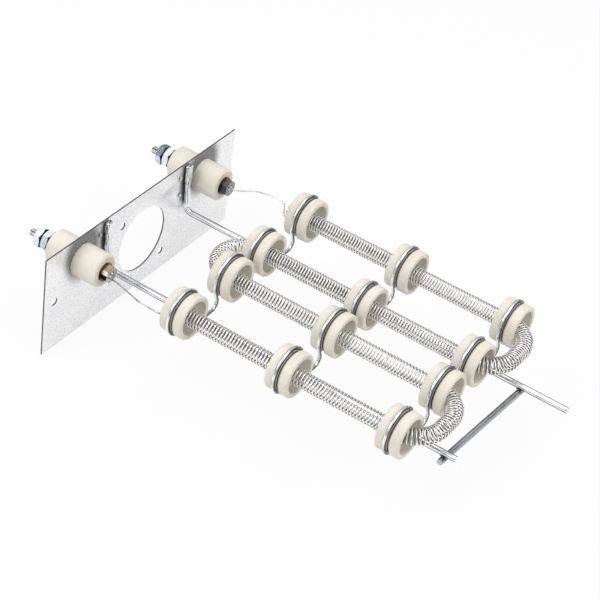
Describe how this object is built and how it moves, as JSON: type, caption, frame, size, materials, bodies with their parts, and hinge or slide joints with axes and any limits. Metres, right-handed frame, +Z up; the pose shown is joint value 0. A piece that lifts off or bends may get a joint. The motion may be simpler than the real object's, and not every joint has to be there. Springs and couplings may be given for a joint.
{
  "type": "open coil heating element",
  "caption": "Open coil air heating element: a coiled resistance wire in ceramic spools on a clip and rod frame, fixed to a mounting plate with insulated terminals.",
  "frame": {"origin": "centre of the mounting plate's inner face, which is the centre of its round window", "axes": "+X from the plate along the element to its free end, +Y across the element towards the right terminal as seen from the free end's side of the picture, +Z up the plate towards the terminals"},
  "size_m": [0.328, 0.1906, 0.0733],
  "materials": {
    "galvanised_sheet": "bright galvanised sheet, finely speckled",
    "ceramic": "unglazed cream ceramic",
    "resistance_wire": "bare grey resistance alloy",
    "plated_rod": "bright zinc plate",
    "plated_clip_wire": "bright zinc plate",
    "bright_nut": "bright plated steel",
    "dark_nut": "dark plated steel",
    "zinc_nut": "bluish zinc plate",
    "plain_washer": "plated steel",
    "terminal_stud": "plated steel with a brownish tinge"
  },
  "bodies": {
    "root": {"mounting_plate": "galvanised_sheet", "left_support_rod": "plated_rod", "right_support_rod": "plated_rod", "cross_bar": "plated_rod", "near_left_clip": "plated_clip_wire", "near_right_clip": "plated_clip_wire", "middle_left_clip": "plated_clip_wire", "middle_right_clip": "plated_clip_wire", "far_left_clip": "plated_clip_wire", "far_right_clip": "plated_clip_wire", "near_spool_1": "ceramic", "near_spool_2": "ceramic", "near_spool_3": "ceramic", "near_spool_4": "ceramic", "middle_spool_1": "ceramic", "middle_spool_2": "ceramic", "middle_spool_3": "ceramic", "middle_spool_4": "ceramic", "far_spool_1": "ceramic", "far_spool_2": "ceramic", "far_spool_3": "ceramic", "far_spool_4": "ceramic", "coil_leg_1": "resistance_wire", "coil_leg_2": "resistance_wire", "coil_leg_3": "resistance_wire", "coil_leg_4": "resistance_wire", "coil_corner_1": "resistance_wire", "coil_left_span": "resistance_wire", "coil_corner_2": "resistance_wire", "coil_corner_3": "resistance_wire", "coil_corner_4": "resistance_wire", "coil_corner_5": "resistance_wire", "coil_right_span": "resistance_wire", "coil_corner_6": "resistance_wire", "left_lead": "resistance_wire", "right_lead": "resistance_wire", "left_stud": "terminal_stud", "left_inner_bushing": "ceramic", "left_outer_bushing": "ceramic", "left_inner_washer": "plain_washer", "left_inner_nut": "bright_nut", "left_washer": "plain_washer", "left_lock_washer": "plain_washer", "left_clamp_nut": "zinc_nut", "left_wire_nut": "zinc_nut", "right_stud": "terminal_stud", "right_inner_bushing": "ceramic", "right_outer_bushing": "ceramic", "right_inner_washer": "plain_washer", "right_inner_nut": "dark_nut", "right_washer": "plain_washer", "right_lock_washer": "plain_washer", "right_clamp_nut": "zinc_nut", "right_wire_nut": "zinc_nut"}
  },
  "joints": []
}
